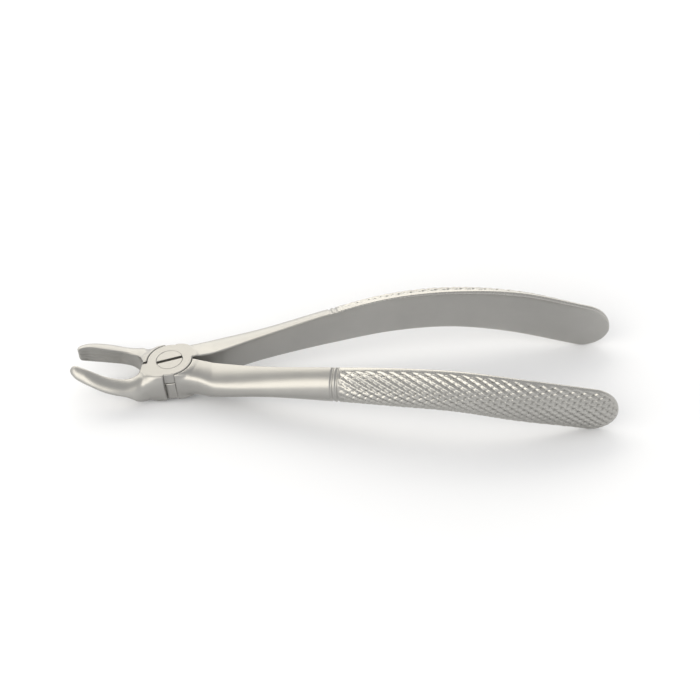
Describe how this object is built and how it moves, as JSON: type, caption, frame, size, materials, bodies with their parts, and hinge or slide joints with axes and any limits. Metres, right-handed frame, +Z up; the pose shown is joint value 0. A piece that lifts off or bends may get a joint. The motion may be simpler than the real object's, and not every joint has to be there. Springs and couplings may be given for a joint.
{
  "type": "extraction forceps",
  "caption": "Dental extraction forceps: crossed steel levers with curved beaks, a half-lapped disc joint, a slotted pivot screw and bowed, knurled handles.",
  "frame": {"origin": "middle of the forceps' box, on the surface that they lie on", "axes": "+X from the beaks to the handles, +Y towards the upper lever's handle, +Z up from the surface; the pivot axis leans 8.44 degrees from +Z towards the beaks"},
  "size_m": [0.1736, 0.0534, 0.0235],
  "materials": {
    "lever_steel": "satin, bead-blasted",
    "screw_steel": "fine brushed"
  },
  "bodies": {
    "lower_half": {"lower_lever": "lever_steel", "pivot_screw": "screw_steel"},
    "upper_half": {"upper_lever": "lever_steel"}
  },
  "joints": [
    {"name": "pivot_hinge", "type": "hinge", "parent": "lower_half", "child": "upper_half", "pos_m": [-0.05413, 0, 0.00648], "axis": [-0.1468, 0, 0.9892], "range_deg": [-6, 23]}
  ]
}
